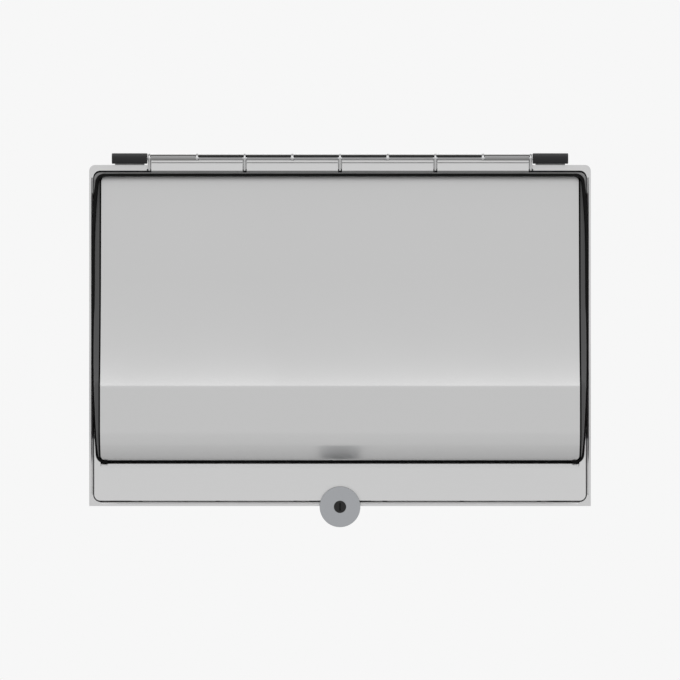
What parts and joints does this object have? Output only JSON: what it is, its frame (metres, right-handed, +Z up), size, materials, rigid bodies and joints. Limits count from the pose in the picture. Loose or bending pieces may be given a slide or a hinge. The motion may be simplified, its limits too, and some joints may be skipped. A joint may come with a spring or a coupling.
{
  "type": "toilet paper holder",
  "caption": "Lockable wall box for two toilet rolls side by side, with a curved lift-up hood, top hinge, sprung spindles and paper exits below.",
  "frame": {"origin": "centre of the four wall screw holes, on the wall face of the back plate", "axes": "+X to the right as seen from the front and along the width, +Y into the wall, +Z up; the front faces -Y"},
  "size_m": [0.3, 0.1353, 0.2235],
  "materials": {
    "casing_metal": "satin anodised sheet",
    "rail_metal": "satin anodised",
    "hood_metal": "fine satin, faintly mirror-like",
    "cap_plastic": "dark grey moulded nylon, slight sheen",
    "sleeve_plastic": "mid grey moulded acetal",
    "damper_plastic": "black moulded acetal",
    "seal_rubber": "black, dull",
    "plated_steel": "zinc plated",
    "galvanised_steel": "zinc coated sheet",
    "stainless_steel": "bright stainless",
    "lock_metal": "nickel plated zinc casting",
    "disc_metal": "satin",
    "plug_black": "black, slight gloss",
    "spindle_plastic": "light grey moulded"
  },
  "bodies": {
    "housing": {"arm_centre": "galvanised_steel", "arm_left": "galvanised_steel", "arm_right": "galvanised_steel", "arm_screws": "plated_steel", "back_plate": "galvanised_steel", "back_screws": "plated_steel", "bottom_plate": "casing_metal", "bottom_screws": "plated_steel", "casing": "casing_metal", "damper_left": "damper_plastic", "damper_right": "damper_plastic", "damper_saddle_left": "damper_plastic", "damper_saddle_right": "damper_plastic", "damper_sleeve_left": "sleeve_plastic", "damper_sleeve_right": "sleeve_plastic", "door_bumpers": "seal_rubber", "hinge_rail": "rail_metal", "hinge_rail_screws": "plated_steel", "saddle_screws": "plated_steel", "strike": "galvanised_steel", "strike_screws": "plated_steel", "tear_bar_left": "stainless_steel", "tear_bar_right": "stainless_steel", "tear_bar_rivets": "plated_steel"},
    "front": {"hood_panel": "hood_metal", "hood_seal": "seal_rubber", "end_cap_left": "cap_plastic", "end_cap_right": "cap_plastic", "top_rail": "rail_metal", "bottom_rail": "rail_metal", "rail_screws": "plated_steel", "hood_screws": "plated_steel", "hinge_leaf_1": "rail_metal", "hinge_leaf_2": "rail_metal", "hinge_leaf_3": "rail_metal", "hinge_leaf_4": "rail_metal", "leaf_screws": "plated_steel", "hinge_pin": "plated_steel", "lock_disc": "disc_metal", "lock_barrel": "lock_metal", "lock_nut": "lock_metal"},
    "lock_core": {"lock_plug": "plug_black", "lock_cam": "lock_metal", "cam_screw": "plated_steel"},
    "spindle_left": {"spindle_sleeve_left": "spindle_plastic"},
    "plunger_left": {"spindle_plunger_left": "spindle_plastic", "spindle_spring_left": "stainless_steel"},
    "spindle_right": {"spindle_sleeve_right": "spindle_plastic"},
    "plunger_right": {"spindle_plunger_right": "spindle_plastic", "spindle_spring_right": "stainless_steel"}
  },
  "joints": [
    {"name": "front_hinge", "type": "hinge", "parent": "housing", "child": "front", "pos_m": [0, -0.119, 0.1058], "axis": [-1, 0, 0], "range_deg": [0, 105]},
    {"name": "lock_turn", "type": "hinge", "parent": "front", "child": "lock_core", "pos_m": [0, -0.118, -0.1024], "axis": [0, -1, 0], "range_deg": [0, 90]},
    {"name": "spindle_spin_left", "type": "hinge", "parent": "housing", "child": "spindle_left", "pos_m": [-0.133, -0.064, -0.006], "axis": [1, 0, 0], "continuous": true},
    {"name": "plunger_slide_left", "type": "slide", "parent": "spindle_left", "child": "plunger_left", "axis": [-1, 0, 0], "range_m": [0, 0.007], "stiffness_N_per_m": 300, "springref_m": -0.02, "deforming": ["spindle_spring_left"]},
    {"name": "spindle_spin_right", "type": "hinge", "parent": "housing", "child": "spindle_right", "pos_m": [0.133, -0.064, -0.006], "axis": [1, 0, 0], "continuous": true},
    {"name": "plunger_slide_right", "type": "slide", "parent": "spindle_right", "child": "plunger_right", "axis": [1, 0, 0], "range_m": [0, 0.007], "stiffness_N_per_m": 300, "springref_m": -0.02, "deforming": ["spindle_spring_right"]}
  ]
}
